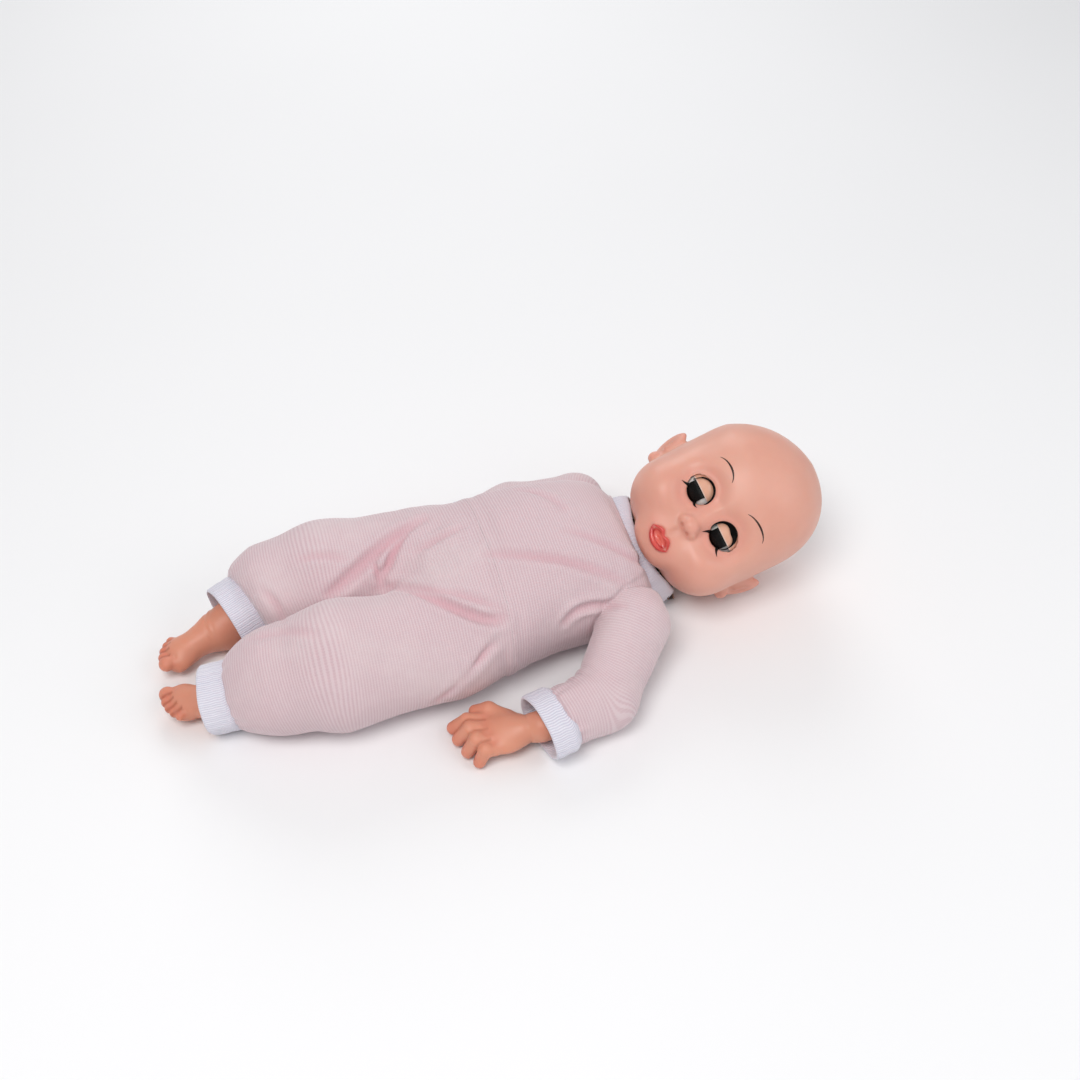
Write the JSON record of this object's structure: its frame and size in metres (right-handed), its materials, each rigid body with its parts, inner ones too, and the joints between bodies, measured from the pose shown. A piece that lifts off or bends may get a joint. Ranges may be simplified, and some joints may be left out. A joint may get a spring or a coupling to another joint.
{
  "type": "baby doll",
  "caption": "Soft-bodied baby doll in a knitted romper, with a vinyl head, hands and feet, sleeping eyes, jointed limbs and a press-to-sound voice box in its belly.",
  "frame": {"origin": "under the middle of the back, on the plane the doll lies on", "axes": "+X from the feet towards the head, +Y to the doll's right side, +Z out of its belly"},
  "size_m": [0.3508, 0.1884, 0.0956],
  "materials": {
    "doll_vinyl": "soft rotocast vinyl, satin, with airbrushed blush",
    "romper_knit": "fine rib cotton knit, pale pink, matt",
    "rib_knit": "white rib knit, matt",
    "body_cloth": "plain woven cotton, stuffed",
    "neck_cloth": "dark brown woven cotton with tan stripes",
    "polyester_wad": "polyester fibre wad",
    "hook_loop": "nylon hook and loop tape",
    "nylon_tie": "moulded nylon",
    "socket_plastic": "moulded polypropylene",
    "eye_white": "polished acrylic",
    "eye_iris": "printed iris under clear acrylic",
    "eyelid_vinyl": "painted lid, satin",
    "lash_fibre": "stiff black nylon fibre",
    "plated_steel": "zinc plated steel",
    "zinc_weight": "die cast weight, dull",
    "case_plastic": "moulded ABS, fine texture",
    "board": "green solder mask",
    "switch_plastic": "moulded nylon",
    "speaker_metal": "pressed steel, dark paint",
    "button_plastic": "moulded ABS, red"
  },
  "bodies": {
    "torso": {"cloth_trunk": "body_cloth", "stuffing_wad": "polyester_wad", "loop_tape": "hook_loop", "hook_tape": "hook_loop", "romper_bodice": "romper_knit", "romper_seat": "romper_knit", "collar": "rib_knit", "voice_box_front": "case_plastic", "voice_box_back": "case_plastic", "battery_cover": "case_plastic", "battery_cover_screw": "plated_steel", "case_screw_1": "plated_steel", "case_screw_2": "plated_steel", "button_cell_1": "plated_steel", "button_cell_2": "plated_steel", "button_cell_3": "plated_steel", "circuit_board": "board", "tact_switch": "switch_plastic", "speaker_frame": "speaker_metal", "speaker_magnet": "speaker_metal"},
    "press_button": {"press_button": "button_plastic"},
    "neck": {"neck_casing": "neck_cloth", "neck_tie": "nylon_tie"},
    "head": {"head_shell": "doll_vinyl", "eye_socket_left": "socket_plastic", "eye_socket_right": "socket_plastic"},
    "eye_left": {"eyeball_left": "eye_white", "eye_axle_left": "plated_steel", "eye_weight_left": "zinc_weight", "eyelid_left": "eyelid_vinyl", "eyelashes_left": "lash_fibre", "iris_left": "eye_iris"},
    "arm_left": {"sleeve_left": "romper_knit", "sleeve_cuff_left": "rib_knit", "upper_arm_left": "body_cloth", "arm_tie_left": "nylon_tie"},
    "forearm_left": {"forearm_left": "doll_vinyl"},
    "leg_left": {"pant_leg_left": "romper_knit", "ankle_cuff_left": "rib_knit", "thigh_left": "body_cloth", "leg_tie_left": "nylon_tie"},
    "lower_leg_left": {"lower_leg_left": "doll_vinyl"},
    "eye_right": {"eyeball_right": "eye_white", "eye_axle_right": "plated_steel", "eye_weight_right": "zinc_weight", "eyelid_right": "eyelid_vinyl", "eyelashes_right": "lash_fibre", "iris_right": "eye_iris"},
    "arm_right": {"sleeve_right": "romper_knit", "sleeve_cuff_right": "rib_knit", "upper_arm_right": "body_cloth", "arm_tie_right": "nylon_tie"},
    "forearm_right": {"forearm_right": "doll_vinyl"},
    "leg_right": {"pant_leg_right": "romper_knit", "ankle_cuff_right": "rib_knit", "thigh_right": "body_cloth", "leg_tie_right": "nylon_tie"},
    "lower_leg_right": {"lower_leg_right": "doll_vinyl"}
  },
  "joints": [
    {"name": "neck_nod", "type": "hinge", "parent": "torso", "child": "neck", "pos_m": [0.06315, 0.00476, 0.02424], "axis": [0, 1, 0], "range_deg": [-12, 12], "deforming": ["neck_casing", "romper_bodice", "cloth_trunk", "collar", "romper_seat"]},
    {"name": "head_turn", "type": "hinge", "parent": "neck", "child": "head", "pos_m": [0.06315, 0.00476, 0.02424], "axis": [0.9154, -0.054, 0.3989], "range_deg": [-121, 35]},
    {"name": "eye_close_left", "type": "hinge", "parent": "head", "child": "eye_left", "pos_m": [0.09957, -0.02578, 0.0526], "axis": [0.2283, -0.7467, -0.6248], "range_deg": [-33, 40]},
    {"name": "eye_close_right", "type": "hinge", "parent": "head", "child": "eye_right", "pos_m": [0.09345, -0.00577, 0.06934], "axis": [0.2283, -0.7467, -0.6248], "range_deg": [-33, 40]},
    {"name": "shoulder_left", "type": "hinge", "parent": "torso", "child": "arm_left", "pos_m": [0.044, -0.048, 0.027], "axis": [0, 1, 0], "range_deg": [-20, 120], "deforming": ["sleeve_left", "upper_arm_left", "sleeve_cuff_left"]},
    {"name": "forearm_turn_left", "type": "hinge", "parent": "arm_left", "child": "forearm_left", "pos_m": [0.018, -0.08, 0.0165], "axis": [-0.9821, -0.1786, -0.0595], "range_deg": [-50, 50]},
    {"name": "shoulder_right", "type": "hinge", "parent": "torso", "child": "arm_right", "pos_m": [0.044, 0.048, 0.027], "axis": [0, 1, 0], "range_deg": [-20, 120], "deforming": ["sleeve_right", "upper_arm_right", "sleeve_cuff_right"]},
    {"name": "forearm_turn_right", "type": "hinge", "parent": "arm_right", "child": "forearm_right", "pos_m": [0.012, 0.061, 0.0166], "axis": [-0.9707, 0.1869, -0.151], "range_deg": [-50, 50]},
    {"name": "hip_left", "type": "hinge", "parent": "torso", "child": "leg_left", "pos_m": [-0.052, -0.033, 0.0292], "axis": [0, 1, 0], "range_deg": [-10, 85], "deforming": ["pant_leg_left", "thigh_left", "ankle_cuff_left"]},
    {"name": "lower_leg_turn_left", "type": "hinge", "parent": "leg_left", "child": "lower_leg_left", "pos_m": [-0.102, -0.0334, 0.0302], "axis": [-0.9623, 0.1462, -0.2295], "range_deg": [-40, 40]},
    {"name": "hip_right", "type": "hinge", "parent": "torso", "child": "leg_right", "pos_m": [-0.052, 0.025, 0.0292], "axis": [0, 1, 0], "range_deg": [-10, 85], "deforming": ["pant_leg_right", "thigh_right", "ankle_cuff_right"]},
    {"name": "lower_leg_turn_right", "type": "hinge", "parent": "leg_right", "child": "lower_leg_right", "pos_m": [-0.097, 0.0264, 0.0292], "axis": [-0.9734, 0.0146, -0.2287], "range_deg": [-40, 40]},
    {"name": "button_press", "type": "slide", "parent": "torso", "child": "press_button", "axis": [0, 0, -1], "range_m": [0, 0.0015], "stiffness_N_per_m": 300}
  ]
}
